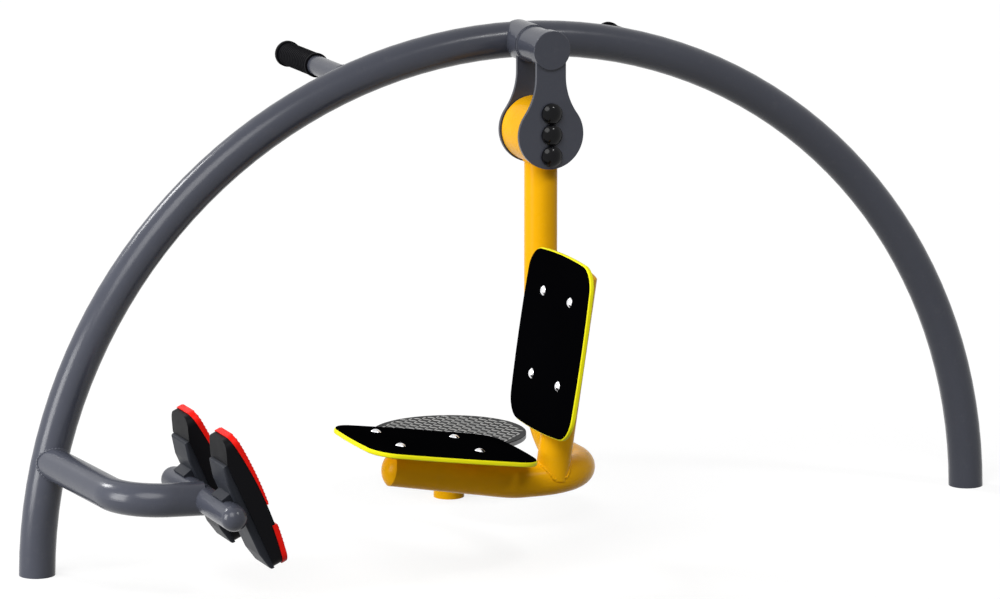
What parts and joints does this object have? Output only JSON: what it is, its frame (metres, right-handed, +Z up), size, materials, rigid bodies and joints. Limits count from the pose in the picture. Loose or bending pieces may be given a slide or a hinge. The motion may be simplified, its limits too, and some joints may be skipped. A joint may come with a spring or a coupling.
{
  "type": "children's leg press and twister trainer",
  "caption": "Children's outdoor trainer: an arch carries a swinging seat with backrest facing fixed red foot pedals, and a turning disc with two hand grips stands behind.",
  "frame": {"origin": "centre of the bounding box's footprint, on the ground", "axes": "+Z up; +X along the arch from the pedals towards the backrest; +Y from the seat's side of the arch to the turning disc's side; the arch stands in the plane Y = 0.070"},
  "size_m": [2.2418, 1.152, 1.1082],
  "materials": {
    "frame_paint": "gloss powder coat, slate grey",
    "swing_paint": "gloss powder coat, golden yellow",
    "board_yellow": "solid-coloured polyethylene board, lemon yellow",
    "board_black": "solid-coloured polyethylene, deep satin black",
    "pedal_red": "ribbed satin red tread",
    "black_plastic": "satin black",
    "pedal_backing": "satin dark grey",
    "grip_rubber": "matt black",
    "buffer_rubber": "matt black",
    "bolt_steel": "bright zinc",
    "bush_bronze": "oiled bronze",
    "disc_metal": "chequered tread plate, galvanised"
  },
  "bodies": {
    "frame": {"arch_tube": "frame_paint", "cross_collar_front": "frame_paint", "cross_collar_rear": "frame_paint", "cross_tube": "frame_paint", "cross_tube_cap": "frame_paint", "crossbar_caps": "frame_paint", "dome_caps_front": "black_plastic", "dome_caps_rear": "black_plastic", "foot_plug_left": "frame_paint", "foot_plug_right": "frame_paint", "foot_plug_twister": "swing_paint", "grip_left": "grip_rubber", "grip_right": "grip_rubber", "handle_tube_left": "frame_paint", "handle_tube_right": "frame_paint", "hanger_plate_front": "frame_paint", "hanger_plate_rear": "frame_paint", "lower_tread_far": "pedal_red", "lower_tread_near": "pedal_red", "pedal_backing_far": "pedal_backing", "pedal_backing_near": "pedal_backing", "pedal_base_far": "black_plastic", "pedal_base_near": "black_plastic", "pedal_bracket": "frame_paint", "pedal_crossbar": "frame_paint", "pivot_axle": "bolt_steel", "pivot_washers": "black_plastic", "post_lid": "swing_paint", "stop_bolts": "bolt_steel", "stop_buffers": "buffer_rubber", "twister_post": "swing_paint", "twister_spindle": "bolt_steel", "upper_tread_far": "pedal_red", "upper_tread_near": "pedal_red"},
    "swing": {"back_board": "board_yellow", "back_board_top": "board_black", "back_bolts": "bolt_steel", "back_brackets": "swing_paint", "back_nuts": "bolt_steel", "drum_end_discs": "swing_paint", "pivot_bushes": "bush_bronze", "pivot_drum": "swing_paint", "seat_board": "board_yellow", "seat_board_top": "board_black", "seat_bolts": "bolt_steel", "seat_brackets": "swing_paint", "seat_nuts": "bolt_steel", "seat_tube_cap": "swing_paint", "swing_tube": "swing_paint", "upright_cap": "swing_paint", "upright_tube": "swing_paint"},
    "turning_disc": {"twister_bearing": "bush_bronze", "twister_disc": "disc_metal", "twister_hub": "disc_metal", "twister_tread": "disc_metal"}
  },
  "joints": [
    {"name": "seat_swing", "type": "hinge", "parent": "frame", "child": "swing", "pos_m": [0, -0.0565, 0.8875], "axis": [0, -1, 0], "range_deg": [-8, 30]},
    {"name": "disc_turn", "type": "hinge", "parent": "frame", "child": "turning_disc", "pos_m": [-0.026, 0.405, 0.12], "axis": [0, 0, 1], "continuous": true}
  ]
}
